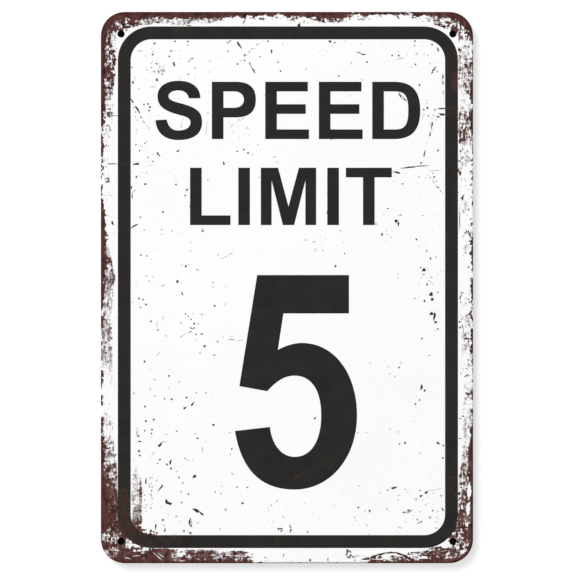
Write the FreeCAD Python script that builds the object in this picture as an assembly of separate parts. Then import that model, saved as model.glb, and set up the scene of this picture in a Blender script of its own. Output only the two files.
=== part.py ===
import FreeCAD, Part
import os

V = FreeCAD.Vector

# Sheet: thin tinplate with its edge turned back all round
plate_width = 202.5
plate_height = 300.0
plate_corner_r = 13.0
sheet_t = 0.4
bend_r = 0.3  # inside radius of the turned edge
rim_return = 0.6  # straight part of the turned edge, behind its bend

# Fixing holes, one near each corner
hole_r = 2.0
hole_inset_x = 11.0
hole_inset_z = 12.0

# Print: one black ink, laid a little off the middle of the sheet
ink_t = 0.05
print_shift_x = 0.5
print_shift_z = 0.2

# Border line
border_inset_x = 8.75
border_inset_z = 8.15
border_line = 7.0
border_corner_r = 18.3

# Room left between the border and the lettering, and between its rows
side_gap = 13.5
top_gap = 23.1
word_gap = 15.6
numeral_gap = 27.2
foot_gap = 24.8
limit_shift = 1.65
numeral_shift = 4.4

# Typeface of the words, in shares of the height of a capital
stem_share = 0.203  # upright strokes
bar_share = 0.168  # level strokes
bowl_side_share = 0.209  # right side of a bowl
overshoot_share = 0.0175  # how far a round letter passes the lines of the flat ones
width_shares = {"S": 0.812, "P": 0.768, "E": 0.764, "D": 0.838,
                "L": 0.706, "I": stem_share, "M": 0.966, "T": 0.802}
speed_gap_shares = [0.171, 0.164, 0.172, 0.168]
limit_gap_shares = [0.136, 0.19, 0.194, 0.121]

# Typeface of the numeral, in shares of its own height
numeral_width_share = 0.569
numeral_bar_share = 0.179  # level stroke at the top
numeral_stem_share = 0.167  # right side of the bowl
numeral_curve_share = 0.1525  # top and foot of the bowl

# Y of the sheet's faces: the sign looks along -Y, and its back is at the origin
back_y = 0.0
front_y = back_y - sheet_t
rim_y = back_y + bend_r + rim_return

tiny = 1e-4  # below this, two lengths are the same
past = 1.0  # how far a cut runs on past the metal

border_width = plate_width - 2 * border_inset_x
border_height = plate_height - 2 * border_inset_z
field_width = border_width - 2 * border_line
field_top = print_shift_z + border_height / 2 - border_line
field_foot = print_shift_z - border_height / 2 + border_line


def row_share(letters, gap_shares):
    """Width of a word as a share of its height."""
    return sum(width_shares[letter] for letter in letters) + sum(gap_shares)


cap_height = (field_width - 2 * side_gap) / row_share("SPEED", speed_gap_shares)
speed_foot = field_top - top_gap - cap_height
limit_foot = speed_foot - word_gap - cap_height
numeral_foot = field_foot + foot_gap
numeral_height = limit_foot - numeral_gap - numeral_foot


def edges_along_y(solid):
    """Straight edges of a solid that run from front to back."""
    return [edge for edge in solid.Edges
            if edge.BoundBox.XLength < tiny and edge.BoundBox.ZLength < tiny]


def edges_at_y(solid, y):
    """Edges of a solid that lie in the plane at y."""
    return [edge for edge in solid.Edges
            if abs(edge.BoundBox.YMin - y) < tiny and abs(edge.BoundBox.YMax - y) < tiny]


def rounded_block(width, height, corner_r, near_y, far_y, centre_x=0.0, centre_z=0.0):
    """Block from near_y to far_y with its four upright corners rounded."""
    corner = V(centre_x - width / 2, near_y, centre_z - height / 2)
    block = Part.makeBox(width, far_y - near_y, height, corner)
    return block.makeFillet(corner_r, edges_along_y(block))


def punched(solid):
    """The solid with the four fixing holes through it."""
    reach_x = plate_width / 2 - hole_inset_x
    reach_z = plate_height / 2 - hole_inset_z
    for side in (-1, 1):
        for level in (-1, 1):
            start = V(side * reach_x, front_y - ink_t - past, level * reach_z)
            length = rim_y - start.y + past
            solid = solid.cut(Part.makeCylinder(hole_r, length, start, V(0, 1, 0)))
    return solid


def sign_plate():
    """The sheet: a flat panel whose edge is bent back into a low rim."""
    outside = rounded_block(plate_width, plate_height, plate_corner_r, front_y, rim_y)
    outside = outside.makeFillet(bend_r + sheet_t, edges_at_y(outside, front_y))
    inside = rounded_block(plate_width - 2 * sheet_t, plate_height - 2 * sheet_t,
                           plate_corner_r - sheet_t, back_y, rim_y + past)
    inside = inside.makeFillet(bend_r, edges_at_y(inside, back_y))
    return punched(outside.cut(inside))


def border_print():
    """The line round the sign, even in width right round its corners."""
    near_y = front_y - ink_t
    outside = rounded_block(border_width, border_height, border_corner_r, near_y, front_y,
                            print_shift_x, print_shift_z)
    inside = rounded_block(field_width, border_height - 2 * border_line,
                           border_corner_r - border_line, near_y - past, front_y + past,
                           print_shift_x, print_shift_z)
    return punched(outside.cut(inside))


class Pen:
    """Draws closed outlines on the front of the sheet, in shares of a letter's height."""

    def __init__(self, left, foot, height):
        self.left, self.foot, self.height = left, foot, height
        self.edges = []
        self.here = self.first = None

    def place(self, point):
        """Point on the front of the sheet for a point of the letter."""
        return V(self.left + point[0] * self.height, front_y, self.foot + point[1] * self.height)

    def begin(self, *point):
        self.edges = []
        self.here = self.first = self.place(point)

    def line(self, *points):
        """Straight runs through each of the points."""
        for point in points:
            end = self.place(point)
            self.edges.append(Part.LineSegment(self.here, end).toShape())
            self.here = end

    def bend(self, corner, end, fullness):
        """Curve that leaves towards the corner and arrives from it; 0.55 is a circle's fullness."""
        corner, end = self.place(corner), self.place(end)
        curve = Part.BezierCurve()
        curve.setPoles([self.here, self.here + (corner - self.here) * fullness,
                        end + (corner - end) * fullness, end])
        self.edges.append(curve.toShape())
        self.here = end

    def fill(self):
        """The closed outline as a thin field of ink."""
        if (self.here - self.first).Length > tiny:
            self.edges.append(Part.LineSegment(self.here, self.first).toShape())
        return Part.Face(Part.Wire(self.edges)).extrude(V(0, -ink_t, 0))

    def polygon(self, *points):
        self.begin(*points[0])
        self.line(*points[1:])
        return self.fill()


def draw_i(pen):
    return pen.polygon((0, 0), (stem_share, 0), (stem_share, 1), (0, 1))


def draw_l(pen):
    width = width_shares["L"]
    return pen.polygon((0, 0), (width, 0), (width, bar_share), (stem_share, bar_share),
                       (stem_share, 1), (0, 1))


def draw_t(pen):
    width = width_shares["T"]
    left, right = (width - stem_share) / 2, (width + stem_share) / 2
    under = 1 - bar_share
    return pen.polygon((left, 0), (right, 0), (right, under), (width, under), (width, 1),
                       (0, 1), (0, under), (left, under))


def draw_e(pen):
    """The foot is the longest arm and the middle one the shortest."""
    foot = width_shares["E"]
    top, middle = foot - 0.02, foot - 0.057
    arm = 0.44  # underside of the middle arm
    arm_top, under = arm + bar_share, 1 - bar_share
    return pen.polygon((0, 0), (foot, 0), (foot, bar_share), (stem_share, bar_share),
                       (stem_share, arm), (middle, arm), (middle, arm_top), (stem_share, arm_top),
                       (stem_share, under), (top, under), (top, 1), (0, 1))


def draw_m(pen):
    """Two uprights with a deep V between them that reaches the foot."""
    width = width_shares["M"]
    middle = width / 2
    upright = 0.188
    shoulder = 0.302  # width of each top corner
    notch = 0.324  # bottom of the gap between the shoulders
    armpit = 0.778  # top of the gap between an upright and the V
    toe = 0.098  # half the width of the V's foot
    return pen.polygon((0, 0), (upright, 0), (upright, armpit), (middle - toe, 0), (middle + toe, 0),
                       (width - upright, armpit), (width - upright, 0), (width, 0), (width, 1),
                       (width - shoulder, 1), (middle, notch), (shoulder, 1), (0, 1))


def bowl(pen, foot, top, spring, right, fullness):
    """Rounded right side from the foot up to the top, springing at x = spring."""
    middle = (foot + top) / 2
    pen.line((spring, foot))
    pen.bend((right, foot), (right, middle), fullness)
    pen.bend((right, top), (spring, top), fullness)


def counter(pen, foot, spring, right, fullness):
    """White inside of a letter with a bowl, from foot up to the top stroke."""
    pen.begin(stem_share, foot)
    bowl(pen, foot, 1 - bar_share, spring, right, fullness)
    pen.line((stem_share, 1 - bar_share))
    return pen.fill()


def draw_p(pen):
    width = width_shares["P"]
    foot = 0.378  # underside of the bowl
    pen.begin(0, 0)
    pen.line((stem_share, 0), (stem_share, foot))
    bowl(pen, foot, 1, 0.415, width, 0.68)
    pen.line((0, 1))
    return pen.fill().cut(counter(pen, foot + bar_share, 0.385, width - bowl_side_share, 0.62))


def draw_d(pen):
    width = width_shares["D"]
    pen.begin(0, 0)
    bowl(pen, 0, 1, 0.385, width, 0.68)
    pen.line((0, 1))
    return pen.fill().cut(counter(pen, bar_share, 0.4, width - bowl_side_share, 0.75))


def draw_s(pen):
    """Two bowls joined by a slanting spine; each stroke ends level."""
    right = width_shares["S"]
    left = 0.035  # left side of the upper bowl
    axis = 0.398  # x of the top and the foot
    top, foot = 1 + overshoot_share, -overshoot_share
    under_top, over_foot = top - bar_share, foot + bar_share
    high, low = 0.75, 0.289  # z of the widest points of the bowls
    inner_left, inner_right = left + 0.192, right - stem_share
    tip = 0.712  # underside of the upper stroke's end
    spine_x, spine_z, spine_half, slope = 0.417, 0.526, 0.104, -0.25

    def spine_edge(side, x):
        return (x, spine_z + side * spine_half + slope * (x - spine_x))

    pen.begin(0.783, tip)
    pen.bend((0.781, top), (axis, top), 0.63)
    pen.bend((left, top), (left, high), 0.61)
    pen.bend(spine_edge(-1, left), spine_edge(-1, spine_x), 0.73)
    pen.bend(spine_edge(-1, inner_right), (inner_right, low), 0.78)
    pen.bend((inner_right, over_foot), (axis, over_foot), 0.62)
    pen.bend((0.23, over_foot), (0.196, 0.341), 0.66)
    pen.line((0, 0.33))
    pen.bend((0.013, foot), (axis, foot), 0.62)
    pen.bend((right, foot), (right, low), 0.64)
    pen.bend(spine_edge(1, right), spine_edge(1, spine_x), 0.78)
    pen.bend(spine_edge(1, inner_left), (inner_left, high), 0.74)
    pen.bend((inner_left, under_top), (axis, under_top), 0.58)
    pen.bend((0.552, under_top), (0.581, tip), 0.65)
    return pen.fill()


def draw_five(pen):
    """Flag, leaning stroke and a deep round bowl, all far heavier than the words."""
    right = numeral_width_share
    inner_right = right - numeral_stem_share
    flag_left, flag_right = 0.1035, 0.5315
    flag_foot = 1 - numeral_bar_share
    top, middle = 0.6835, 0.347  # z of the bowl's top and of its widest point
    under_top, over_foot = top - numeral_curve_share, numeral_curve_share
    axis = 0.278  # x of the bowl's foot and of the top of its inside
    pen.begin(flag_left, 1)
    pen.line((flag_right, 1), (flag_right, flag_foot), (0.226, flag_foot), (0.2, 0.651))
    pen.bend((0.255, top), (0.313, top), 0.6)
    pen.bend((right, top), (right, middle), 0.58)
    pen.bend((right, 0), (axis, 0), 0.572)
    pen.bend((0.045, 0), (0, 0.273), 0.67)
    pen.line((0.163, 0.292))
    pen.bend((0.178, over_foot), (axis, over_foot), 0.6)
    pen.bend((inner_right, over_foot), (inner_right, middle), 0.62)
    pen.bend((inner_right, under_top), (axis, under_top), 0.63)
    pen.bend((0.215, under_top), (0.1505, 0.4585), 0.7)
    pen.line((0.0205, 0.482))
    return pen.fill()


draw_letter = {"S": draw_s, "P": draw_p, "E": draw_e, "D": draw_d,
               "L": draw_l, "I": draw_i, "M": draw_m, "T": draw_t}


def word_print(letters, gap_shares, foot, shift_x=0.0):
    """One word, centred on the print or moved sideways from its centre."""
    left = print_shift_x + shift_x - row_share(letters, gap_shares) * cap_height / 2
    solids = []
    for letter, gap_share in zip(letters, gap_shares + [0]):
        solids.append(draw_letter[letter](Pen(left, foot, cap_height)))
        left += (width_shares[letter] + gap_share) * cap_height
    return Part.makeCompound(solids)


def numeral_print():
    left = print_shift_x + numeral_shift - numeral_width_share * numeral_height / 2
    return draw_five(Pen(left, numeral_foot, numeral_height))


nodes = {
    "sign_plate": sign_plate(),
    "border_print": border_print(),
    "word_speed": word_print("SPEED", speed_gap_shares, speed_foot),
    "word_limit": word_print("LIMIT", limit_gap_shares, limit_foot, limit_shift),
    "numeral_five": numeral_print(),
}

os.makedirs("parts", exist_ok=True)
for name, shape in nodes.items():
    shape.exportStep("parts/" + name + ".step")
    box = shape.BoundBox
    print(name, "valid", shape.isValid(), "solids", len(shape.Solids), "volume", round(shape.Volume, 2),
          "x", round(box.XMin, 2), round(box.XMax, 2), "y", round(box.YMin, 2), round(box.YMax, 2),
          "z", round(box.ZMin, 2), round(box.ZMax, 2))
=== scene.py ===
import math
import random

import bmesh
import bpy
from mathutils import Matrix, Vector


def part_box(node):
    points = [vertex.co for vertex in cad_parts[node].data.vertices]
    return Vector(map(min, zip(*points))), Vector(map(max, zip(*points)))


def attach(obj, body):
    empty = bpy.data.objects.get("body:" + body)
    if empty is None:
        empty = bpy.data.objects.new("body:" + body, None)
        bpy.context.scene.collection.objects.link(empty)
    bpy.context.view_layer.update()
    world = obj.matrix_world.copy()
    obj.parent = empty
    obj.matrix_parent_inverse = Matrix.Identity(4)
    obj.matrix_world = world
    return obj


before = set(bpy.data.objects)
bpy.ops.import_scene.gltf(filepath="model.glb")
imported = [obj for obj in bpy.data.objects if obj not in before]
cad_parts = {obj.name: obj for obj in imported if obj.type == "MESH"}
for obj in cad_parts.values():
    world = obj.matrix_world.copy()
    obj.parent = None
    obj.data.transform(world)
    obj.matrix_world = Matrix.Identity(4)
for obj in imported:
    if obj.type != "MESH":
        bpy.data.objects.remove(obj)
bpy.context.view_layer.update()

MM = 0.001

# The sheet and its painted face, read from the frame
sheet_low, sheet_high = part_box("sign_plate")
_, border_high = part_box("border_print")
half_width = (sheet_high.x - sheet_low.x) / 2 / MM
half_height = (sheet_high.z - sheet_low.z) / 2 / MM
paint_y = border_high.y / MM

# Sizes in millimetres that no box gives: corners, places of the holes, half the white field
corner_r = 13.0
hole_x, hole_z = 90.25, 138.0
field_x, field_z = 84, 134

# Finishes, as linear colours
enamel_white = (0.95, 0.95, 0.948, 1)
enamel_shade = (0.935, 0.935, 0.93, 1)
ink_black = (0.016, 0.0155, 0.014, 1)
ink_worn = (0.021, 0.0198, 0.0175, 1)
ink_brown = (0.05, 0.026, 0.021, 1)
rust_dark = (0.031, 0.011, 0.0095, 1)
rust_brown = (0.093, 0.0305, 0.025, 1)
rust_pale = (0.155, 0.08, 0.07, 1)
# Darker rust for the rolled rim, partly painted shade that damps the sheen on the bend
rim_rust_and_shade = (0.035, 0.004, 0.002, 1)
# Painted shade for the rolled edge along the right side and the bottom
painted_edge_shade = (0.012, 0.006, 0.005, 1)
tin_grey = (0.62, 0.62, 0.61, 1)
tin_dull = (0.42, 0.41, 0.4, 1)
chip_dark = (0.04, 0.019, 0.017, 1)
chip_brown = (0.07, 0.03, 0.026, 1)
scuff_grey = (0.42, 0.385, 0.38, 1)
scuff_pale = (0.72, 0.7, 0.69, 1)
stage_white = (0.75, 0.75, 0.75, 1)
# Painted shadow for the discs behind the holes
hole_shadow_black = (0.004, 0.004, 0.004, 1)
pure_white = (1, 1, 1, 1)


def operator(operation, reflected=False):
    """A Python operator that adds a Math node."""
    def apply(self, other):
        pair = (other, self) if reflected else (self, other)
        return self.paint.node("Math", dict(enumerate(pair)), operation=operation)
    return apply


class Field:
    """A socket whose value changes over the surface. Python sums of it add Math nodes."""

    def __init__(self, paint, socket):
        self.paint, self.socket = paint, socket

    __add__, __radd__ = operator("ADD"), operator("ADD", True)
    __sub__, __rsub__ = operator("SUBTRACT"), operator("SUBTRACT", True)
    __mul__, __rmul__ = operator("MULTIPLY"), operator("MULTIPLY", True)
    __truediv__ = operator("DIVIDE")
    __pow__ = operator("POWER")

    def over(self, other):
        """The larger of the two."""
        return self.paint.node("Math", {0: self, 1: other}, operation="MAXIMUM")

    def under(self, other):
        """The smaller of the two."""
        return self.paint.node("Math", {0: self, 1: other}, operation="MINIMUM")

    def size(self):
        """The value without its sign."""
        return self.paint.node("Math", {0: self}, operation="ABSOLUTE")

    def rise(self, start, end):
        """0 up to start, 1 from end on, smooth between; start may be the larger."""
        return self.paint.node("MapRange", {0: self, 1: start, 2: end, 3: 0, 4: 1},
                               interpolation_type="SMOOTHSTEP")


class Nodes:
    """The node tree of a material or of the world."""

    def __init__(self, owner):
        self.owner = owner
        owner.use_nodes = True
        self.tree = owner.node_tree
        self.tree.nodes.clear()

    def node(self, kind, sockets, output=0, stops=None, **settings):
        """Any node: its type, its settings, and the values or links of its sockets."""
        made = self.tree.nodes.new("ShaderNode" + kind)
        for name, value in settings.items():
            setattr(made, name, value)
        if stops:
            elements = made.color_ramp.elements
            elements.remove(elements[1])
            elements[0].position, elements[0].color = stops[0]
            for position, colour in stops[1:]:
                elements.new(position).color = colour
        for name, value in sockets.items():
            if isinstance(value, Field):
                self.tree.links.new(value.socket, made.inputs[name])
            else:
                made.inputs[name].default_value = value
        return Field(self, made.outputs[output]) if made.outputs else None


class Paint(Nodes):
    """The nodes of one material, with the place on the object in millimetres as x, y and z."""

    def __init__(self, name):
        super().__init__(bpy.data.materials.new(name))
        self.place = self.node("TexCoord", {}, output="Object")
        in_mm = self.node("VectorMath", {0: self.place, "Scale": 1 / MM}, operation="SCALE")
        self.x = self.node("SeparateXYZ", {0: in_mm}, output="X")
        self.y = self.node("SeparateXYZ", {0: in_mm}, output="Y")
        self.z = self.node("SeparateXYZ", {0: in_mm}, output="Z")

    def noise(self, size, detail=2.0, roughness=0.5, stretch=(1, 1, 1), shift=0.0):
        """Cloudy noise with features of about this size in millimetres."""
        scaled = self.node("Mapping", {"Vector": self.place, "Scale": stretch,
                                       "Location": (shift, shift, shift)})
        return self.node("TexNoise", {"Vector": scaled, "Scale": 1 / (size * MM), "Detail": detail,
                                      "Roughness": roughness})

    def mix(self, share, first, second):
        """The second colour over the first, by share."""
        return self.node("Mix", {0: share, 6: first, 7: second}, output=2, data_type="RGBA")

    def bump(self, height, depth, strength):
        """Normal for a relief of this depth in millimetres."""
        return self.node("Bump", {"Height": height, "Distance": depth * MM, "Strength": strength})

    def finish(self, surface):
        """The finished material, with this surface."""
        self.node("OutputMaterial", {"Surface": surface})
        return self.owner


# Rust along each side: place, depth of the solid band, reach of the specks beyond it, their share
rust_left = [
    (-150, 6.0, 15.0, 0.75), (-133, 7.0, 12.0, 0.85), (-113, 6.8, 9.3, 0.88),
    (-107, 2.9, 9.3, 0.72), (-100, 2.0, 9.2, 0.57), (-92, 2.4, 8.5, 0.54), (-83, 2.0, 7.4, 0.44),
    (-79, 0.5, 7.0, 0.26), (-73, 2.0, 7.2, 0.42), (-67, 0.5, 5.0, 0.2),
    (-60, 0.4, 6.5, 0.14), (-50, 0.8, 8.0, 0.25), (-42, 1.0, 6.5, 0.36), (-36, 0.8, 6.5, 0.5),
    (-30, 0.7, 6.0, 0.48), (-16, 1.0, 6.0, 0.46),
    (-4, 1.4, 7.0, 0.52), (8, 2.1, 8.3, 0.68), (14, 3.2, 6.5, 0.6),
    (22, 3.0, 4.6, 0.35), (36, 2.3, 3.8, 0.3), (46, 1.7, 5.5, 0.2), (54, 0.4, 7.0, 0.15),
    (60, 1.2, 5.0, 0.25), (76, 1.3, 4.0, 0.2), (90, 1.4, 6.5, 0.34), (96, 2.3, 7.0, 0.5),
    (104, 2.3, 6.8, 0.55), (116, 2.4, 8.0, 0.7), (130, 2.6, 8.5, 0.65), (140, 3.8, 8.5, 0.5),
    (150, 6.0, 12.0, 0.7)]
rust_right = [
    (-150, 3.0, 14.0, 0.66), (-138, 2.3, 13.0, 0.68), (-126, 2.5, 9.0, 0.7), (-116, 2.2, 8.6, 0.62),
    (-106, 2.1, 8.2, 0.64), (-100, 2.8, 7.2, 0.64), (-92, 2.6, 6.4, 0.58), (-84, 1.7, 5.5, 0.42),
    (-64, 1.0, 6.0, 0.36), (-57, 1.6, 5.0, 0.44), (-52, 0.2, 6.0, 0.15),
    (-44, 0.2, 7.0, 0.3), (-36, 0.4, 7.0, 0.38), (-29, 1.2, 6.0, 0.42),
    (-10, 1.2, 7.8, 0.25), (2, 1.1, 6.0, 0.14),
    (22, 1.3, 6.5, 0.25), (30, 1.2, 6.5, 0.18), (38, 0.9, 8.0, 0.2), (48, 0.4, 8.3, 0.24),
    (72, 0.3, 8.3, 0.25), (80, 1.0, 8.3, 0.42), (90, 2.1, 8.3, 0.52),
    (96, 1.3, 8.3, 0.46), (99.5, 0.6, 8.3, 0.22), (103, 1.6, 7.5, 0.32), (111, 2.0, 8.0, 0.44),
    (116, 0.5, 8.3, 0.56), (122, 0.4, 8.3, 0.52), (132, 0.4, 8.3, 0.46), (138, 2.6, 9.0, 0.5),
    (150, 7.5, 13.0, 0.7)]
rust_top = [
    (-101, 6.0, 13.0, 0.7), (-94, 5.0, 12.0, 0.7), (-86, 3.6, 8.8, 0.6), (-77, 3.8, 7.5, 0.6),
    (-70, 3.4, 6.5, 0.45), (-62, 3.5, 7.6, 0.35), (-52, 3.6, 7.0, 0.45), (-40, 3.6, 6.3, 0.6),
    (-34, 2.9, 4.6, 0.5), (-25, 2.6, 4.2, 0.4), (-12, 2.0, 4.6, 0.35), (-5.5, 1.0, 4.0, 0.3),
    (0, 2.2, 4.6, 0.5), (9, 3.2, 6.8, 0.5), (21, 3.8, 6.3, 0.5), (31, 3.8, 5.8, 0.4),
    (34, 1.5, 4.6, 0.45), (42, 1.7, 5.0, 0.4), (50, 1.6, 3.0, 0.2), (60, 1.5, 2.6, 0.2),
    (66, 1.3, 3.0, 0.2), (71, 2.0, 4.6, 0.4), (79, 2.4, 6.4, 0.48), (84, 2.9, 8.4, 0.6),
    (92, 3.5, 12.0, 0.6), (101, 6.0, 13.0, 0.7)]
rust_bottom = [
    (-101, 6.0, 15.0, 0.75), (-92, 6.0, 13.0, 0.8), (-82, 7.0, 8.6, 0.9), (-66, 6.5, 8.2, 0.85),
    (-58, 4.5, 7.6, 0.7), (-50, 2.5, 7.6, 0.7), (-40, 1.8, 7.4, 0.7), (-30, 1.8, 7.2, 0.65),
    (-22, 1.5, 7.0, 0.55), (-16, 0.6, 5.0, 0.2), (-5, 0.0, 3.0, 0.05), (28, 0.0, 3.0, 0.05),
    (34, 0.6, 7.0, 0.2), (40, 0.7, 5.0, 0.25), (46, 1.5, 4.2, 0.5), (53, 1.6, 4.6, 0.6),
    (62, 1.6, 4.2, 0.55), (68, 2.3, 6.6, 0.6), (76, 2.6, 8.0, 0.65), (84, 3.2, 10.0, 0.7),
    (92, 2.4, 13.0, 0.62), (101, 3.0, 14.0, 0.62)]
rust_full = 16.0  # the deepest reach that a profile can hold

# Rust away from the sides: centre, half size, and the share of the metal it covers
rust_patches = [
    ((-88, -138), (15, 14), 0.82), ((-82.4, -114), (3, 22), 0.42), ((-79.7, -117), (1.3, 17), 0.62),
    ((-81.6, -126), (3.6, 12), 0.6), ((-77, -134), (8, 3.5), 0.6), ((93, -140), (10, 12), 0.6),
    ((94, 143), (8, 7), 0.66), ((-93, 142), (9, 7), 0.55), ((-68.5, 117.8), (2.6, 1.8), 0.45),
    ((-72, 120), (7, 7), 0.16), ((95.5, 118), (3.4, 7), 0.55), ((98.5, 110), (3, 6), 0.5),
    ((96, 48.5), (2.6, 2.2), 0.3), ((99, 24), (2.4, 2), 0.4), ((33.5, -145), (2.6, 4), 0.35)]
# Clean enamel among the rust: centre, half size, and how much rust it takes away
clean_patches = [
    ((-96, -136), (8, 5), 0.35), ((-95.5, -144), (6, 4.5), 0.32), ((-80, -141.5), (7, 4), 0.45),
    ((-86, -139.5), (2.6, 4), 0.5), ((86, -138.5), (4, 4), 0.7), ((97, -141), (2.6, 3.4), 0.35),
    ((99.2, -110.7), (1.4, 5), 0.9), ((98.6, -120.5), (1.3, 4), 0.8), ((62, -142.8), (20, 1.3), 0.7),
    ((-92, 136.5), (4.5, 4.5), 0.45), ((-58, -146.5), (8, 3), 0.4), ((-98, 62), (5, 4), 0.3)]
# Places where the rust is brushed out soft: centre, half size, and how strongly
smears = [
    ((-90, -95), (20, 60), 1.0), ((98, -62), (9, 72), 1.3), ((97, 112), (8, 30), 1.0),
    ((-97, -22), (9, 60), 1.6), ((-82, -112), (5, 27), 1.8), ((-50, 144), (44, 6), 1.1),
    ((-50, -146), (50, 5), 0.8)]
# Share of each kind of oval that its soft edge takes up
rust_edge, clean_edge, smear_edge, stain_edge = 0.7, 0.8, 1.0, 0.9


def profile(paint, along, half_length, rows):
    """Depth of the solid band, reach of the specks and their share, at a place along a side."""
    stops = [((place + half_length) / (2 * half_length), (solid / rust_full, reach / rust_full, share, 1))
             for place, solid, reach, share in rows]
    here = (along + half_length) / (2 * half_length)
    colour = paint.node("ValToRGB", {0: here}, stops=stops)
    solid, reach, share = (paint.node("SeparateColor", {0: colour}, output=name)
                           for name in ("Red", "Green", "Blue"))
    return solid * rust_full, reach * rust_full, share


def sheet_depth(paint):
    """Distance in from the sheet's rounded outline, and what its corners take off that distance."""
    past_x = paint.x.size() - (half_width - corner_r)
    past_z = paint.z.size() - (half_height - corner_r)
    round_x, round_z = past_x.over(0), past_z.over(0)
    outside = (round_x * round_x + round_z * round_z) ** 0.5
    furthest = past_x.over(past_z)
    inside = furthest.under(0)
    return corner_r - outside - inside, outside + inside - furthest


def even(cloud, spread):
    """Cloudy noise stretched so that every value from 0 to 1 is about as common."""
    return cloud.rise(0.5 - spread, 0.5 + spread)


def covered(grain, share, softness):
    """1 where an even grain lies under the share to be covered, with soft edges."""
    middle = share * (1 + 2 * softness) - softness
    return grain.rise(middle + softness, middle - softness)


def patch(paint, centre, half_size, edge):
    """Oval, 1 at its middle and 0 outside, with this share of it as its soft edge."""
    off_x = (paint.x - centre[0]) / half_size[0]
    off_z = (paint.z - centre[1]) / half_size[1]
    return (off_x * off_x + off_z * off_z).rise(1, 1 - edge)


def most(shares):
    """The largest of several shares at each spot."""
    top = shares[0]
    for share in shares[1:]:
        top = top.over(share)
    return top


def front_rust(paint, smeared):
    """How much of each spot of the front rust should take, and the depth in from the outline."""
    depth, corner = sheet_depth(paint)
    ragged = (paint.noise(2.4, 3, 0.65) - 0.5) * 5.0
    gaps = paint.noise(5.5, 2, 0.55, shift=5.2).rise(0.47, 0.56)
    thick = 1.02 - paint.noise(7.0, 2, 0.5, shift=8.1).rise(0.4, 0.65) * depth.rise(2.6, 5.5) * 0.3
    shares = []
    for along, half_length, rows, from_side in (
            (paint.z, half_height, rust_left, paint.x + half_width),
            (paint.z, half_height, rust_right, half_width - paint.x),
            (paint.x, half_width, rust_top, half_height - paint.z),
            (paint.x, half_width, rust_bottom, paint.z + half_height)):
        solid, reach, share = profile(paint, along, half_length, rows)
        inward = from_side - corner
        band = (inward + ragged).rise(solid + smeared * 0.9 + 0.6, solid - smeared * 0.3 - 0.4) * thick
        band = band * (1 - solid.rise(1.8, 0.8) * gaps)
        shares.append(band.over(share * inward.rise(reach + 1.0, reach - 1.0)))
    for centre, half_size, share in rust_patches:
        shares.append(patch(paint, centre, half_size, rust_edge) * share)
    rusted = most(shares)
    for centre, half_size, share in clean_patches:
        rusted = rusted * (1 - patch(paint, centre, half_size, clean_edge) * share)
    return depth, rusted


def rust_grain(paint):
    """Even grain of flecks, drawn out into streaks: upright by the long sides, level elsewhere."""
    fleck = paint.noise(1.5, 3, 0.6)
    upright = paint.noise(0.9, 2, 0.6, stretch=(1, 1, 0.2), shift=0.5)
    level = paint.noise(0.9, 2, 0.6, stretch=(0.2, 1, 1), shift=0.9)
    coarse = paint.noise(4.5, 2, 0.5, shift=0.3)
    beside = paint.x.size().rise(84, 94) * 0.18
    streaks = upright * (beside + 0.12) + level * (0.3 - beside)
    return even(fleck * 0.36 + streaks + coarse * 0.22, 0.115), fleck


def rust_colour(paint):
    """Brown that runs from near black to a dusty pink brown."""
    cloud = even(paint.noise(4.0, 5, 0.65, shift=0.7), 0.2)
    brown = paint.mix(cloud.rise(0.0, 0.7), rust_dark, rust_brown)
    dusty = even(paint.noise(2.6, 3, 0.6, stretch=(1, 1, 0.5), shift=11.9), 0.2)
    lift = paint.x * 0.0006 - paint.z * 0.0007
    return paint.mix((dusty + lift).rise(0.6, 1.0) * 0.75, brown, rust_pale)


def front_colour(paint, depth, rust):
    """Enamel with its rust and fine specks; also all that they take, the painted shade along the right
    and bottom edges, and the rim, whose darker brown is partly painted shade.
    """
    pepper = paint.noise(1.0, 1, 0.5, shift=7.3)
    gathered = paint.noise(14.0, 2, 0.5, shift=9.7).rise(0.4, 0.65)
    sparse = 0.79 - depth.rise(60, 10) * 0.035 - gathered * 0.045
    taken = rust.over(pepper.rise(sparse, sparse + 0.06) * 0.6)
    cloud = even(paint.noise(40.0, 3, 0.5, shift=2.1), 0.2)
    enamel = paint.mix(cloud, enamel_white, enamel_shade)
    front = paint.mix(taken, enamel, rust_colour(paint))
    # Painted shade: a dark line along the right side and the bottom, where the rolled edge turns away
    # from the light
    shaded_bottom_strip = paint.z.rise(-140, -148)
    beside = paint.x.rise(86, 98) * (1 - shaded_bottom_strip) * taken
    edge = depth.rise(0.85, 0.55) * (beside * 0.8 + shaded_bottom_strip * (0.6 - taken * 0.45))
    # Rim: rust darkened to a deeper brown, partly painted shade that damps the sheen on the bend
    rim = depth.rise(1.8, 0.6) * taken
    front = paint.mix(edge, paint.mix(rim * 0.4, front, rim_rust_and_shade), painted_edge_shade)
    return front, taken, edge, rim


def back_colour(paint, depth, grain):
    """Bare tinplate, rusted in from the rim and round the holes; also its rust, grain and blotches."""
    rolling = even(paint.noise(1.2, 3, 0.6, stretch=(1, 1, 0.05), shift=3.1), 0.25)
    blotch = even(paint.noise(36.0, 5, 0.6, shift=4.2), 0.25)
    tin = paint.mix(blotch * 0.4 + rolling * 0.45, tin_grey, tin_dull)
    off_x, off_z = paint.x.size() - hole_x, paint.z.size() - hole_z
    from_hole = (off_x * off_x + off_z * off_z) ** 0.5
    creep = covered(grain, (depth.rise(5.0, 0.2) * 0.75).over(from_hole.rise(5.0, 2.2) * 0.6), 0.08)
    return paint.mix(creep, tin, rust_colour(paint)), creep, rolling, blotch


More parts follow.
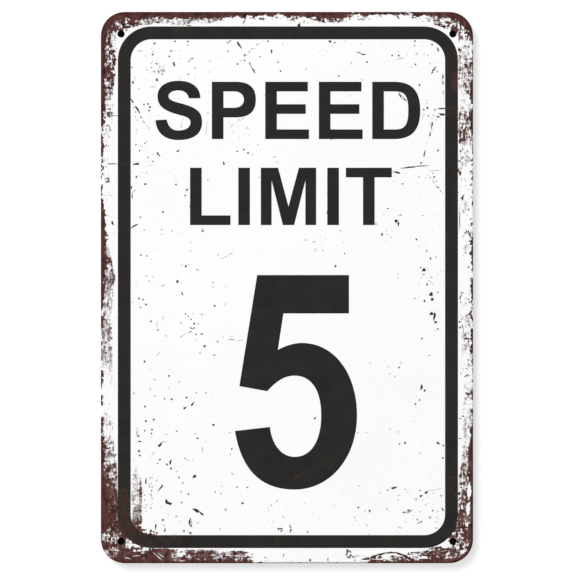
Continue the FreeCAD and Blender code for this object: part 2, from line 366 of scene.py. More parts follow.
def sheet_paint():
    """White enamel, rusted in from the edges, on a tinplate sheet whose back is bare."""
    paint = Paint("rusted_enamel")
    smeared = most([patch(paint, centre, half_size, smear_edge) * power
                    for centre, half_size, power in smears])
    depth, share = front_rust(paint, smeared)
    grain, fleck = rust_grain(paint)
    blur = paint.noise(6.0, 2, 0.5, shift=1.3).rise(0.4, 0.6) * 0.26 + smeared * 0.27 + 0.08
    front, taken, edge, rim = front_colour(paint, depth, covered(grain, share, blur))
    back, creep, rolling, blotch = back_colour(paint, depth, grain)
    behind = paint.y.rise(-0.25, -0.15) * depth.rise(0.15, 0.3)
    metal = behind * (1 - creep)
    # Rougher where the rust is, along the line of painted edge shade, and on the rim
    rust_and_edge_roughness = taken.over(edge) * 0.5 + rim * 0.14
    rough = 0.36 + rust_and_edge_roughness * (1 - behind) + behind * (creep * 0.4 + blotch * 0.12)
    height = taken * -0.7 + taken * fleck * 0.6 + behind * rolling * 0.15
    surface = paint.node("BsdfPrincipled", {
        "Base Color": paint.mix(behind, front, back), "Roughness": rough, "Metallic": metal * 0.9,
        "Specular IOR Level": 0.22, "Normal": paint.bump(height, 0.05, 0.35)})
    return paint.finish(surface)


# Rust through the ink: centre, half size and strength
border_stains = [
    ((-88, -128), (9, 32), 0.78), ((-75, -139), (26, 9), 0.52), ((-90, -100), (4, 18), 0.3),
    ((91.8, 112), (4.4, 7.5), 0.9), ((89.5, 115.5), (4, 4), 0.5), ((91, 126), (3.5, 7), 0.4),
    ((88, 97.5), (7, 0.7), 1.0), ((87, 94), (5, 0.8), 0.8),
    ((86, 125), (7, 8), 0.25), ((90, -110), (4, 8), 0.55), ((89, -104), (5, 2), 0.6),
    ((75, -138), (12, 5), 0.25), ((-61, 140), (3, 3.4), 0.6), ((-88, 112), (5, 9), 0.25),
    ((-5, -137), (2.4, 3), 0.6), ((55, -137), (2, 2), 0.4), ((-88, 67.3), (6, 0.4), 0.9),
    ((-85.4, 60), (0.6, 12), 0.6), ((-88, -68), (4, 6), 0.25)]
letter_stains = [((5, -103), (3.4, 1.6), 0.6), ((22, 42), (2, 2), 0.6), ((-14, -40), (14, 2), 0.12)]


def ink_paint(name, stains):
    """Black ink with a faint clouding, which rust has stained in places."""
    paint = Paint(name)
    stained = most([patch(paint, centre, half_size, stain_edge) * share
                    for centre, half_size, share in stains])
    grain, _ = rust_grain(paint)
    brown = covered(grain, stained * 0.8, 0.45)
    wear = even(paint.noise(9.0, 4, 0.55, shift=6.1), 0.2)
    colour = paint.mix(brown, paint.mix(wear, ink_black, ink_worn), ink_brown)
    fine = paint.noise(0.6, 2, 0.5)
    surface = paint.node("BsdfPrincipled", {
        "Base Color": colour, "Roughness": 0.42 + brown * 0.25 + fine * 0.08,
        "Specular IOR Level": 0.1, "Normal": paint.bump(fine, 0.01, 0.15)})
    return paint.finish(surface)


def chip_paint(name, first, second):
    """Dull, faintly rough ground of a chip, clouded between two colours."""
    paint = Paint(name)
    cloud = even(paint.noise(2.0, 3, 0.6), 0.2)
    fine = paint.noise(0.5, 2, 0.5)
    surface = paint.node("BsdfPrincipled", {
        "Base Color": paint.mix(cloud, first, second), "Roughness": 0.7 + fine * 0.2,
        "Specular IOR Level": 0.2, "Normal": paint.bump(fine, 0.02, 0.3)})
    return paint.finish(surface)


def matt(paint, colour, glow=0.0):
    """Dull surface that gives off a little white light of its own."""
    return paint.node("BsdfPrincipled", {
        "Base Color": colour, "Roughness": 1, "Specular IOR Level": 0,
        "Emission Color": pure_white, "Emission Strength": glow})


def backdrop_paint(name, colour, glow):
    """Backdrop that only the camera sees, and only from its front."""
    paint = Paint(name)
    clear = paint.node("BsdfTransparent", {})
    seen = paint.node("LightPath", {}, output="Is Camera Ray")
    from_behind = paint.node("NewGeometry", {}, output="Backfacing")
    surface = {0: seen - from_behind, 1: clear, 2: matt(paint, colour, glow)}
    return paint.finish(paint.node("MixShader", surface))


def floor_paint(glow):
    """Pale floor, lifted to white for the camera alone."""
    paint = Paint("floor_white")
    seen = paint.node("LightPath", {}, output="Is Camera Ray")
    surface = {0: seen, 1: matt(paint, stage_white), 2: matt(paint, stage_white, glow)}
    return paint.finish(paint.node("MixShader", surface))


# Chips through the enamel: place across and up, length, width, tilt in degrees
chips = [
    (-26, 132, 4.2, 0.8, -56), (-18.2, 118.1, 3.4, 0.6, -59), (-10.3, 134, 0.8, 0.8, 0),
    (-8.4, 128.5, 0.9, 1.6, 0), (23.4, 133.9, 1.6, 0.9, -15), (26, 133.2, 0.8, 0.7, 0),
    (-55.6, 144, 3.4, 0.35, 62), (-54, 143.6, 3, 0.3, 40), (-53.2, 142.5, 2.4, 0.4, 5),
    (-60.9, 133.9, 1.2, 0.6, -30), (-53.9, 133.9, 1.4, 0.5, -20), (-72, 132.8, 1.1, 0.8, 30),
    (-73, 126.8, 1, 0.8, 0), (-63, 128.7, 1.3, 0.5, 30), (-64, 125.7, 0.8, 0.8, 0),
    (-61.5, 121.6, 1.1, 1.9, 15), (-70.7, 113, 1.1, 1.3, 0), (-83.8, 111.6, 1, 1.2, 0),
    (-84.3, 101.7, 3.4, 0.5, -60), (-81.3, 96.9, 4.8, 0.7, -58), (-77.8, 99.6, 0.8, 0.7, 0),
    (-75.6, 99.9, 0.9, 0.8, 0), (-74.5, 98.2, 0.9, 1.1, 0), (-75, 96.3, 1, 0.7, 20),
    (-81.9, 60.2, 0.9, 0.9, 0), (-77.1, 56.3, 1.5, 0.7, 15), (-70, 72.6, 2.8, 0.6, -53),
    (-82, 67.2, 3.4, 0.8, 5), (-84.6, 54.5, 1.8, 0.5, 80), (-84.2, 50.1, 3.9, 0.4, 88),
    (-94.9, 35.1, 2.4, 0.8, -70), (-83, 33.5, 4.4, 0.6, 30), (-67.5, 41.1, 0.9, 0.9, 0),
    (-79.4, 17.7, 0.8, 0.8, 0), (-76.2, 17.2, 0.8, 0.6, 0), (-59.6, 3.3, 1.3, 1.2, 0),
    (-80.5, -5.9, 0.9, 0.9, 0), (-78.3, -6.5, 0.8, 0.8, 0), (-76.7, -9.2, 0.9, 0.9, 0),
    (-74, -18.4, 0.9, 0.8, 0), (-70.2, -23.1, 1, 0.6, 30), (-77.5, -40.2, 0.8, 1.1, 0),
    (-64.2, -48.1, 0.9, 0.9, 0), (-77.2, -64.7, 1, 0.8, 0), (-76.7, -72.6, 1.1, 0.8, 40),
    (-72.4, -71.8, 1, 0.8, 0), (-73.4, -77.2, 0.9, 0.9, 0), (-73.7, -79.4, 0.9, 0.7, 0),
    (-69, -85.5, 3.2, 0.9, 48), (-80.9, -80.8, 1, 0.9, 0), (-80.2, -83.6, 1.4, 0.6, 0),
    (-80.5, -88.9, 1.2, 1, 0), (-80, -91.3, 1, 0.7, 0), (-63.4, -94.9, 1, 2.1, -15),
    (-65.3, -96.2, 1, 0.9, 0), (-63.1, -98.4, 0.9, 1.1, 0), (-50.3, -102.7, 2.2, 1.1, 40),
    (-58.8, -103.3, 0.8, 0.8, 0), (-76.7, -105.2, 3.4, 0.6, 88), (-68.7, -108.9, 4.4, 0.6, 50),
    (-65.3, -116.6, 1.6, 2.2, 30), (-63.8, -117.4, 2.6, 1, -25), (-53.6, -112.3, 0.8, 0.8, 0),
    (-49.4, -121.2, 3.6, 1.2, -28), (-46.6, -122.8, 3.4, 0.7, -38), (-52.9, -127.3, 3.8, 0.7, 80),
    (-52.2, -129.6, 1, 1, 0), (-67.5, -126.4, 1.2, 0.8, 0), (-70.7, -133.5, 1, 0.8, 0),
    (-52.5, -133.5, 1.3, 0.9, 0), (-66.4, -131.9, 2.2, 0.5, 80), (-71.4, -130, 3, 0.6, 82),
    (-56, -132.4, 1.1, 0.8, 0), (-3.6, -131.1, 2.9, 0.5, -5), (-3, -132.3, 1.9, 0.5, 48),
    (-4.6, -131.5, 0.8, 0.6, 0), (1.8, -130, 1.8, 0.5, -60), (2, -132.1, 2.3, 0.6, 72),
    (69.6, 134.1, 1, 0.7, 20), (78.9, 132.2, 0.9, 0.8, 0),
    (82.1, 129.5, 2.4, 0.6, -65), (41.3, 126.9, 3.2, 0.5, -12), (69.9, 121.4, 0.9, 0.7, 0),
    (57.2, 126.2, 0.9, 0.7, 0), (60.8, 126.2, 0.9, 0.8, 0), (80, 118.8, 3.4, 0.6, 50),
    (72.1, 110.2, 0.9, 0.9, 0), (76.4, 97.7, 1.2, 0.9, 0), (74.4, 96.9, 0.9, 0.7, 0),
    (78.9, 88.5, 3.4, 0.6, 78), (77.8, 83.4, 2.6, 0.5, 75), (74.8, 72.9, 3.8, 0.5, 78),
    (24.2, 81, 1.4, 0.6, 85), (72.9, 67.8, 0.9, 0.9, 0), (82.1, 74.6, 0.9, 0.9, 0),
    (66.5, 65.4, 8, 0.6, 6), (73.4, 66.2, 7, 0.35, 3), (59.8, 62.6, 4, 0.7, -12), (80, 60.2, 0.9, 0.8, 0),
    (59.4, 36.2, 2, 1.2, -20), (60.6, 34.6, 1, 1.6, 0), (70.4, 26.2, 1, 0.8, 0),
    (78.1, 15.8, 0.9, 0.9, 0), (74.5, 9.6, 2, 1.3, 30), (76.2, 1.7, 0.9, 0.9, 0),
    (78.4, -3.6, 2.2, 1.4, 60), (79, -6.4, 1.6, 1.3, 0), (74.8, -7.3, 1, 1, 0),
    (78.6, -14.2, 2, 1.3, 30), (80.2, -15.6, 4.4, 0.9, 80), (80.9, -18.8, 1.6, 0.9, 0),
    (61.6, 104.4, 3, 0.6, -62), (64, 102.2, 2.8, 0.5, -35), (66.6, 101, 1, 0.5, -20),
    (82.1, -22.5, 0.9, 0.7, 0), (73.4, -27.7, 0.9, 0.8, 0), (73.2, -54.2, 1.2, 2.2, -10),
    (74.9, -56, 1.3, 0.8, 20), (69.9, -63.3, 0.9, 0.8, 0), (72.1, -61.1, 0.8, 0.7, 0),
    (64.2, -84.5, 1.2, 0.8, 30), (61.2, -85, 0.8, 0.6, 0), (82.2, -84.6, 2, 0.8, -30),
    (85.1, -85.9, 0.9, 0.7, 0), (58.2, -108.9, 3.2, 0.8, 15), (54.9, -110.1, 0.9, 0.6, 0),
    (75.8, -111.4, 2, 0.9, 35), (72.9, -113.4, 1.7, 0.8, 45), (66.1, -121.2, 1.3, 0.8, 0),
    (63.4, -122.4, 1, 0.7, 0), (79.2, -121.3, 0.9, 0.7, 0), (73, -127.4, 1.2, 0.6, 20),
    (-1.8, -145.6, 2.2, 0.3, 88), (12.6, -148.2, 1, 1.2, 0), (22.3, -148, 0.5, 1.8, 0),
    (32.6, -144.5, 3.2, 0.5, 85), (33.6, -146.8, 2.2, 0.5, 0), (95.6, 49.4, 2.8, 0.6, 60),
    (93.9, 36.8, 12, 0.3, 89), (99.1, 29.2, 4.4, 0.5, -75), (94.4, -5, 3.2, 0.5, 70),
    (95.2, -2.8, 2, 0.4, -10), (93.9, -18.7, 0.9, 0.8, 0), (94.1, -21.7, 0.9, 0.9, 0),
    (98.2, -48, 2.8, 0.4, 0), (60.2, 147.4, 3.2, 0.6, -58), (-95.2, 93.4, 7, 0.35, 2),
    (-99.4, -14.5, 1.1, 0.8, 0), (-99.4, -17.4, 1.2, 0.8, 10), (-99.4, -21.3, 1.1, 0.6, 0),
    (-95.5, -22.1, 0.8, 0.9, 0), (-95.3, -27.6, 0.8, 1.0, 0), (-98.5, -29.9, 1.4, 0.7, 20),
    (-95.5, -32.8, 0.9, 0.8, 0), (-99.3, -32.3, 1, 0.7, 0), (-98.6, -35.5, 1.3, 0.8, 0),
    (98.8, -39.4, 1.2, 0.5, 0), (98.9, -42.1, 0.9, 0.5, 0), (97.6, -44, 0.9, 0.4, 0),
    (98.2, -47.2, 0.9, 0.4, 0), (96.8, -48.5, 1, 0.4, 5), (94.6, -46.6, 0.7, 0.5, 0),
    (94.2, -82.1, 1.6, 0.35, 0), (95.7, -70, 0.9, 0.6, 0), (94.2, -71.2, 0.8, 0.6, 0),
    (98.4, -57.8, 2.8, 0.8, -30), (98.8, 11.1, 1, 0.7, 0), (99.2, -14.4, 0.9, 0.8, 70),
    (98, -27.8, 3, 0.6, 0), (96.8, -25.8, 0.8, 0.6, 0), (98.9, -20.4, 1.2, 0.5, -30),
    (94.2, 62.2, 1.3, 1.8, 0), (-23.2, 145, 3.4, 0.4, 65), (6.6, 142.6, 1.6, 1.6, 0),
    (-95, 67.3, 5.5, 0.4, 1), (84.2, 97.4, 4.4, 0.6, 0), (84.4, 94.2, 3.4, 0.9, -6),
    (82.2, 92.9, 1.6, 0.7, 0), (22.3, 41.2, 1.2, 1.8, 0), (26.4, 11.7, 1, 1, 0),
    (-34.3, 67.3, 0.9, 0.9, 0), (15.2, -71, 1.6, 0.6, 50), (11.2, -132.9, 0.9, 0.7, 0),
    (47.3, -146.4, 4.6, 1, 26), (51.6, -144.9, 5, 0.8, 14), (56.6, -144.2, 5.6, 0.7, 2),
    (61.4, -144.9, 5, 0.8, -18), (65, -146.6, 4.6, 1.1, -32), (67.2, -147.5, 2.4, 0.9, -40),
    (43, -147.6, 4.6, 0.8, 8), (-19.9, 121.3, 3.6, 0.35, -66), (-22.9, 126.6, 1.4, 0.5, -75),
    (-23, 123.6, 0.9, 0.7, 0), (-53.4, 123.2, 1, 0.5, 20), (-51.2, 124.6, 0.9, 0.5, 0),
    (-31, 134, 1.6, 0.4, 40), (-32.2, 133.2, 1.2, 0.4, -40), (-32, 128.6, 0.9, 0.5, 60),
    (-26.9, 121.6, 1, 0.7, 30), (-4.9, 122.6, 0.8, 0.7, 0), (-3.5, 117.8, 0.9, 0.7, 0),
    (-70.6, 121.6, 0.8, 0.5, 30), (-73.6, 119.8, 0.7, 0.5, 0), (-72.2, 117.4, 0.9, 0.5, -30),
    (-84.4, 119.8, 0.9, 0.5, 60), (38.9, 127.9, 2.6, 0.35, -4), (43.5, 122.7, 1.2, 0.6, -30),
    (79, 116.9, 1.4, 0.5, 30), (84.9, 114.6, 2.4, 0.5, 88), (85, 111.4, 1.6, 0.4, 88),
    (28.2, 115.1, 0.9, 0.6, 0), (-59.3, 74.4, 1.8, 0.6, 40), (-75.6, 70.9, 1, 0.5, -20),
    (-72.9, 68.7, 1.1, 0.4, -30), (-77.2, 78.6, 0.9, 0.5, 60), (-82.1, 77.8, 1, 0.5, 50),
    (-60.4, 56.1, 0.9, 0.7, 0), (-54.4, 53.2, 1.4, 0.7, 70), (-55.3, 50.1, 1.2, 0.5, 40),
    (-27, 74.1, 1, 0.5, -20), (-23.5, 75.1, 1.1, 0.6, 0), (-21.2, 73.2, 1.2, 0.7, -20),
    (-34.5, 67.9, 1.4, 0.5, 80), (62.9, 56.4, 1.2, 0.5, 0), (54.9, 43, 1, 0.5, 0),
    (62, 39.5, 0.8, 0.5, 0), (51.7, 28.9, 1.3, 0.9, 70), (72.7, 10.9, 0.9, 0.5, 60),
    (-79.7, 38.3, 1, 0.6, 20), (-45.8, 30.8, 1.3, 0.7, 30), (-55, 11.6, 1.1, 0.9, 0),
    (-57, -3.2, 2.2, 0.5, -75), (-39.3, -9.9, 1.1, 0.8, 20), (-55.2, -14.3, 1, 0.5, -30),
    (-53.7, -15.6, 0.8, 0.5, -30), (-52.2, -17.2, 1, 0.5, -40), (-50.5, -19.6, 1, 0.8, 0),
    (-52.2, -22, 1.4, 0.5, -50), (-50.7, -22.1, 1.4, 0.5, 50), (-52.6, -24.1, 1.8, 0.4, 15),
    (-49.5, -25.4, 1, 0.5, 0), (-46.4, -25.2, 1.4, 0.6, 15), (-37.7, -29.4, 1, 0.5, 20),
    (-30.2, -28.3, 3.4, 0.3, -4), (-44.8, -31.9, 1.2, 1, 0), (-66.5, -60.5, 0.8, 0.6, 0),
    (-62.7, -60.7, 1.1, 0.8, 20), (-54.6, -59.8, 1.1, 0.8, 0), (-51.4, -63.4, 2.6, 0.7, 55),
    (-55.6, -65.5, 1.7, 0.8, 30), (-40, -74.7, 1.3, 0.9, 0), (-60, -78.1, 0.9, 0.6, 0),
    (-48.6, -82, 1.1, 0.8, 0), (-30, -87.8, 1.2, 0.6, 80), (-69.1, -93.6, 1.2, 0.6, 60),
    (-70.5, -95.7, 0.8, 0.5, 0), (-55.4, -92.9, 0.9, 0.5, 0), (-57.6, -111, 1.2, 0.4, 75),
    (-27.2, -108.5, 0.8, 0.6, 0), (-21.5, -108.7, 0.9, 0.6, 0), (-24.2, -117.2, 1.5, 0.7, -20),
    (-33.4, -120.8, 1.4, 0.5, 40), (84.8, -92.7, 1, 0.8, 0), (72.4, -110.3, 1, 0.5, 40),
    (38.8, -119.6, 1.2, 0.6, 0), (45, -121.5, 1.5, 0.7, -50), (67.4, -121.4, 1.6, 0.4, 50),
    (84.8, -120.6, 2, 0.5, -55)]
# Pale scuffs and scratches, with the same five values
faint_chips = [
    (-81.5, -78.4, 0.9, 3.6, -12), (-80.4, -83.9, 4.4, 0.4, 5), (-66.5, -83.8, 3.2, 0.35, -5),
    (-70.5, -146, 6, 0.45, -42), (-68.5, -145.6, 4.4, 0.35, -36), (-95.5, -142.6, 2.6, 0.5, -30),
    (-86.6, -147.2, 3.4, 0.4, -12), (-81.8, -145.9, 4.2, 0.4, 4), (-96.8, -131.6, 2.2, 0.5, 20),
    (-80, 128.7, 3.6, 0.5, 5), (-67.8, 117.8, 2.2, 1.1, 0), (-73, 109.1, 3, 0.6, 5),
    (-52.2, 124.4, 1.2, 0.8, 0), (-50, 119.4, 1, 0.8, 0), (-43.8, 86.5, 7.2, 0.35, 83),
    (-57.3, 89, 6, 0.3, 77), (-80.6, 108.2, 1, 0.7, 0), (61.5, 124.6, 4.4, 0.4, 10),
    (62.9, 104, 6, 0.4, -36), (61.2, 106, 2.4, 0.4, -60), (72.4, 65.9, 6, 0.3, 4),
    (80.8, 63.7, 7.4, 0.3, 2), (80.5, -110, 9, 0.3, 12), (84.5, 113, 0.7, 5, 0),
    (98.2, 21.6, 3, 0.4, 5), (97, 22.7, 1.3, 0.4, 60), (85, 106, 0.6, 2.4, 0),
    (51.7, 28.6, 1.2, 0.7, 0), (66, -122, 4.2, 0.9, 20),
    (72, -127.8, 3.4, 0.7, 25), (84.9, -121, 1, 0.8, 0), (81.5, -125, 2, 0.5, 30),
    (-72.9, -90.5, 3.4, 0.4, 48), (-56.6, -106.3, 1.6, 1, 0), (-46, -88, 0.8, 2, 0),
    (-52, -128, 1.2, 2, 0), (-60, -100, 1, 0.8, 0), (-54, -94, 0.9, 0.7, 0),
    (-36, -112, 1.4, 0.8, 50), (-24, 92, 1.6, 0.5, 30), (-30, 88, 2.4, 0.4, 40),
    (-43, 95, 1.6, 0.4, 10), (35, 122, 0.8, 1, 0), (10.4, 119, 1, 0.7, -30),
    (76, 20, 1, 1.4, 0), (72, -90, 1.2, 0.5, 40), (-70, -36, 3, 0.4, 50), (15.5, 20.5, 2, 0.5, 60),
    (14.6, 24.8, 1.6, 0.6, 20), (19.3, -63.3, 1.2, 0.5, 40), (-52.8, 44.1, 0.9, 0.7, 0),
    (29, 31, 1.4, 0.5, 35), (-46, 32, 1.2, 0.6, 0), (56, -47, 1.4, 0.5, 20), (56, -77, 1.2, 0.6, 0),
    (38.5, -79, 1.2, 0.5, 70), (32, -92, 1, 0.6, 0), (-6, 82, 1.2, 0.6, 60), (44, 36, 1.4, 0.6, 20),
    (-76.9, 126, 0.8, 0.7, 0), (-69.6, 119.4, 0.7, 0.6, 0), (-82.7, 114.4, 0.7, 0.5, 0),
    (55.4, 123.2, 0.8, 0.5, 0), (74.6, 127, 0.7, 0.5, 0), (41, 113, 1, 0.7, 0), (40, 132.4, 0.8, 0.5, 80),
    (-15.8, 77.8, 0.8, 0.5, 0), (-6.9, 71.1, 2.2, 0.5, 0), (-4.9, 68, 1.6, 0.5, 85),
    (-43, 58.5, 1.2, 0.6, 85), (-15.1, 59.9, 1.2, 0.7, 0), (58.2, 57.7, 0.8, 0.5, 0),
    (52.6, 40, 0.9, 0.5, 0), (81.2, 16.4, 2.4, 0.4, -60), (76.7, 10.1, 0.9, 0.5, 30),
    (60.4, 7.4, 1, 0.6, 0), (60.4, 5.2, 1, 0.5, 0), (-77.6, 31.3, 1, 0.7, 0), (-68.2, 31.6, 1, 0.7, 0),
    (-68.1, 29.1, 1.2, 0.6, 0), (-62.4, 30.9, 1, 0.8, 0), (-52.5, 24.6, 0.9, 0.6, 0),
    (-52.5, 20, 1.2, 0.5, 0), (-73.8, 15.4, 0.8, 0.5, 0), (-37.5, 17.7, 1.2, 0.5, 0),
    (-35.2, 16.1, 1.6, 0.5, 0), (-33.3, 16.7, 1.2, 0.6, 20), (-30.8, 18.2, 3.4, 0.35, 30),
    (-57.3, 12.2, 1, 0.7, 0), (-48.7, 9.8, 1.4, 0.8, -20), (-76.5, 6.4, 1.1, 0.7, 0),
    (-72.9, 5.9, 1, 0.7, 40), (-75.2, 3.6, 0.9, 0.7, 0), (-67.4, 1.1, 2.2, 0.7, 30),
    (-81.7, 1.2, 0.8, 0.5, 0), (-40.2, 2.9, 0.9, 0.8, 0), (-40.2, 0.5, 1.1, 0.9, 0),
    (-79.7, -10.8, 1.3, 0.9, 80), (-33.6, -8.8, 1.8, 0.5, 75), (-51.1, -14.2, 1, 0.5, 0),
    (-46.3, -14.6, 1.4, 0.8, 0), (-67.4, -16.4, 2.8, 0.4, 85), (-70.8, -20, 2.8, 0.5, 85),
    (-56.4, -26, 5, 0.4, 32), (-65.8, -26.2, 1.1, 0.7, 0), (-34.8, -27, 1, 0.6, 0),
    (-30.3, -26.8, 1.6, 0.4, 20), (-26, -28.6, 4, 0.3, 0), (-47.2, -35.5, 1, 0.8, 0),
    (-39.6, -36.7, 1.6, 0.8, 0), (-64, -44.6, 1, 0.5, 50), (-71.9, -50, 1.3, 0.7, 0),
    (-58.6, -51.3, 1.1, 0.9, 0), (-74.4, -55.2, 0.9, 0.8, 0), (-64.3, -54.8, 0.9, 0.7, 0),
    (-83.3, -57.5, 1.3, 1, 0), (-49.9, -79.5, 0.9, 0.6, 0), (-65.8, -79.9, 1.8, 0.5, 0),
    (-31.2, -78.8, 1.3, 0.7, 0), (-30.8, -90.7, 1.7, 0.4, 75), (-29.7, -101.2, 1.6, 0.8, -30),
    (-35.3, -108.1, 1, 0.6, 0), (-36.4, -131.3, 1.2, 0.7, 0), (-48.4, -128, 1.2, 0.7, 0),
    (43.4, -78.8, 1.6, 0.4, -10), (60.6, -78.4, 1.6, 0.5, 80), (50.6, -111.7, 1.1, 0.7, 0),
    (61, -113.1, 2, 0.5, 25), (60.4, -115.5, 0.9, 0.7, 0), (70.1, -115.1, 1.8, 1.2, 40),
    (42.3, -121.4, 1, 0.7, 0), (36.8, -125, 1.2, 0.8, 0), (43.4, -129.3, 1.1, 0.8, 0),
    (54.4, -120.4, 1.2, 0.6, 0), (77.8, -125, 1.6, 1, 40), (81.4, -127.4, 1.4, 0.7, 0),
    (81.2, -130.8, 1.8, 0.6, 0), (61.4, -130.6, 2.4, 0.5, -15), (84.1, -113.3, 1.8, 0.5, 30)]
# Rows of small chips: first and last place, and how many
chip_rows = [
    (-24.6, 123.7, -15.1, 132.6, 9), (-83.2, 98, -82, 91, 4), (-79.6, 92.5, -75.4, 87, 5),
    (79.2, 94, 78.4, 85.8, 4), (77.8, 59.6, 84.8, 51, 7), (-74.5, -107, -73, -114, 5),
    (-73.8, -104, -73.4, -120, 8), (-77.6, -111, -76.4, -122, 6), (92, 140, 83, 143, 3)]
# Places where small chips gather: place across and up, and how far they spread
flocks = [
    (-80, 92, 5), (-82, 76, 5), (-72, 120, 6), (-80, 58, 5), (-76, -76, 6), (-78, -108, 5),
    (-64, -124, 6), (80, 98, 4), (80, 58, 5), (76, 2, 5), (68, -120, 6), (81, -118, 4),
    (20, 22, 6), (-30, 88, 6), (-8, -132, 7), (-52, 118, 8), (60, 34, 6),
    (58, -44, 6), (76, 126, 8)]
# Strewn at random: how many, the smallest and the largest
strewn_chips = (85, 0.35, 1.0)
strewn_scuffs = (150, 0.45, 1.4)
in_flocks = 0.6  # the share of them that gathers in the flocks
in_middle = 0.15  # of the others, the share that stays when it falls on the middle of the sign
# Flakes: thickness, corners, waves of the outline, and what a row's length and width are drawn out by
flake_thickness = 0.04
flake_corners = 10
three_waves, five_waves = 0.22, 0.12
longer, wider = 1.15, 1.5


def piece_of(name, bm, material):
    """The piece that a bmesh makes."""
    mesh = bpy.data.meshes.new(name)
    bm.to_mesh(mesh)
    bm.free()
    mesh.materials.append(material)
    piece = bpy.data.objects.new(name, mesh)
    bpy.context.scene.collection.objects.link(piece)
    return piece


def flake(bm, dice, x, z, length, width, tilt):
    """Closed flake with a wavy outline, half sunk in the face of the sheet."""
    made = bmesh.ops.create_cone(bm, cap_ends=True, segments=flake_corners, radius1=0.5, radius2=0.45,
                                 depth=flake_thickness, matrix=Matrix.Rotation(math.pi / 2, 4, "X"))
    phase = dice.uniform(0, 2 * math.pi)
    for vert in made["verts"]:
        angle = math.atan2(vert.co.z, vert.co.x)
        reach = (1 + three_waves * math.sin(3 * angle + phase)
                 + five_waves * math.sin(5 * angle - 2 * phase))
        vert.co.x *= reach * length
        vert.co.z *= reach * width
    turn = Matrix.Rotation(-math.radians(tilt), 4, "Y")
    place = Matrix.Translation((x, paint_y, z)) @ turn
    bmesh.ops.transform(bm, matrix=place, verts=made["verts"])


def flakes(name, rows, material, dice, dots=()):
    """One piece of many flakes: one for each row, then small ones along each line of dots."""
    bm = bmesh.new()
    for x, z, length, width, tilt in rows:
        flake(bm, dice, x, z, length * longer, width * wider, tilt)
    for x_start, z_start, x_end, z_end, count in dots:
        for step in range(count):
            share = step / (count - 1)
            x = x_start + (x_end - x_start) * share + dice.uniform(-0.6, 0.6)
            z = z_start + (z_end - z_start) * share + dice.uniform(-0.6, 0.6)
            flake(bm, dice, x, z, dice.uniform(0.5, 1.1), dice.uniform(0.4, 0.7), dice.uniform(0, 180))
    bmesh.ops.scale(bm, vec=(MM, MM, MM), verts=bm.verts)
    piece = piece_of(name, bm, material)
    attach(piece, "root")


def strewn(dice, count, smallest, largest):
    """Small chips at random: most in loose flocks, the rest anywhere, but few in the middle."""
    rows = []
    while len(rows) < count:
        if dice.random() < in_flocks:
            centre_x, centre_z, spread = dice.choice(flocks)
            x, z = dice.gauss(centre_x, spread), dice.gauss(centre_z, spread)
        else:
            x, z = dice.uniform(-field_x, field_x), dice.uniform(-field_z, field_z)
            if dice.random() > in_middle + (1 - in_middle) * (abs(x) / field_x) ** 3:
                continue
        if abs(x) < field_x and abs(z) < field_z:
            size = smallest + (largest - smallest) * dice.random() ** 2
            rows.append((x, z, size, size * dice.uniform(0.3, 0.8), dice.uniform(0, 180)))
    return rows


def chip_the_enamel():
    """The dark chips as one piece and the pale scuffs as another."""
    dice = random.Random(5)
    dark = chip_paint("chip_rust", chip_dark, chip_brown)
    faint = chip_paint("chip_faint", scuff_grey, scuff_pale)
    flakes("enamel_chips", chips + strewn(dice, *strewn_chips), dark, dice, chip_rows)
    flakes("enamel_scuffs", faint_chips + strewn(dice, *strewn_scuffs), faint, dice)


def dress():
    """Finishes on the slots of the solids."""
    letters = ink_paint("letter_ink", letter_stains)
    finishes = {"sign_plate": sheet_paint(), "border_print": ink_paint("border_ink", border_stains),
                "word_speed": letters, "word_limit": letters, "numeral_five": letters}
    for name, material in finishes.items():
        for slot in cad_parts[name].material_slots:
            slot.material = material


# Stage: white wall behind the sign, which takes its shadow, pale floor, and a dark disc behind each hole
# that paints the shadow seen through it
wall_y = 6.0 * MM
wall_half = 0.7
wall_glow = 0.35
shadow_disc_y = sheet_high.y + 0.3 * MM
shadow_disc_r = 3.4 * MM
floor_z = -0.42
floor_half = 1.6
floor_glow = 0.36
sky_strength = 0.55


def stage_piece(name, bm, material):
    piece = piece_of(name, bm, material)


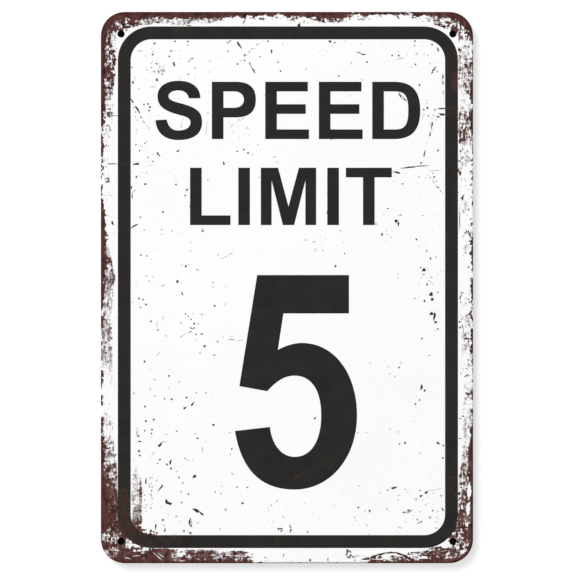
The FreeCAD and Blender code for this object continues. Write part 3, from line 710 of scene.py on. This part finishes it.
def stage():
    """The wall, the discs of painted shadow behind the holes, and the floor."""
    upright = Matrix.Rotation(math.pi / 2, 4, "X")
    wall, shadow_discs, floor = bmesh.new(), bmesh.new(), bmesh.new()
    bmesh.ops.create_grid(wall, x_segments=1, y_segments=1, size=wall_half,
                          matrix=Matrix.Translation((0, wall_y, floor_z + wall_half)) @ upright)
    bmesh.ops.create_grid(floor, x_segments=1, y_segments=1, size=floor_half,
                          matrix=Matrix.Translation((0, 0, floor_z)))
    # Dark discs behind the holes: painted shadow seen through them
    for x in (-hole_x, hole_x):
        for z in (-hole_z, hole_z):
            place = Matrix.Translation((x * MM, shadow_disc_y, z * MM))
            bmesh.ops.create_circle(shadow_discs, cap_ends=True, segments=24, radius=shadow_disc_r,
                                    matrix=place @ upright)
    stage_piece("wall", wall, backdrop_paint("wall_white", stage_white, wall_glow))
    stage_piece("gaps", shadow_discs, backdrop_paint("gap_dark", hole_shadow_black, 0.0))
    stage_piece("floor", floor, floor_paint(floor_glow))


def lamp(name, place, size, power):
    """Round area lamp, in metres and watts, aimed at the middle of the sign."""
    data = bpy.data.lights.new(name, "AREA")
    data.shape = "DISK"
    data.size = size
    data.energy = power
    made = bpy.data.objects.new(name, data)
    made.location = place
    made.rotation_euler = (-Vector(place)).to_track_quat("-Z", "Y").to_euler()
    bpy.context.scene.collection.objects.link(made)


def light():
    """Large lamp at the upper left, weak one behind, and a sky that the camera sees as pure white."""
    lamp("key", (-2.1, -3.6, 2.78), 3.45, 160)
    lamp("rear_fill", (0.9, 1.5, 0.7), 1.4, 9)
    studio = Nodes(bpy.data.worlds.new("studio"))
    sky, backdrop = (studio.node("Background", {"Color": pure_white, "Strength": strength})
                     for strength in (sky_strength, 1))
    seen = studio.node("LightPath", {}, output="Is Camera Ray")
    studio.node("OutputWorld", {"Surface": studio.node("MixShader", {0: seen, 1: sky, 2: backdrop})})
    bpy.context.scene.world = studio.owner


def camera():
    """Square on to the sign, as far off as a long lens stands."""
    distance = 1.6
    frame_height = 313.3 * MM
    centre = Vector((0.56 * MM, 0, -0.22 * MM))
    data = bpy.data.cameras.new("camera")
    data.angle = 2 * math.atan(frame_height / 2 / (distance + paint_y * MM))
    made = bpy.data.objects.new("camera", data)
    made.location = centre + Vector((0, -distance, 0))
    made.rotation_euler = (math.pi / 2, 0, 0)
    bpy.context.scene.collection.objects.link(made)
    bpy.context.scene.camera = made
    bpy.context.scene.view_settings.view_transform = "Standard"


camera()
dress()
chip_the_enamel()
stage()
light()
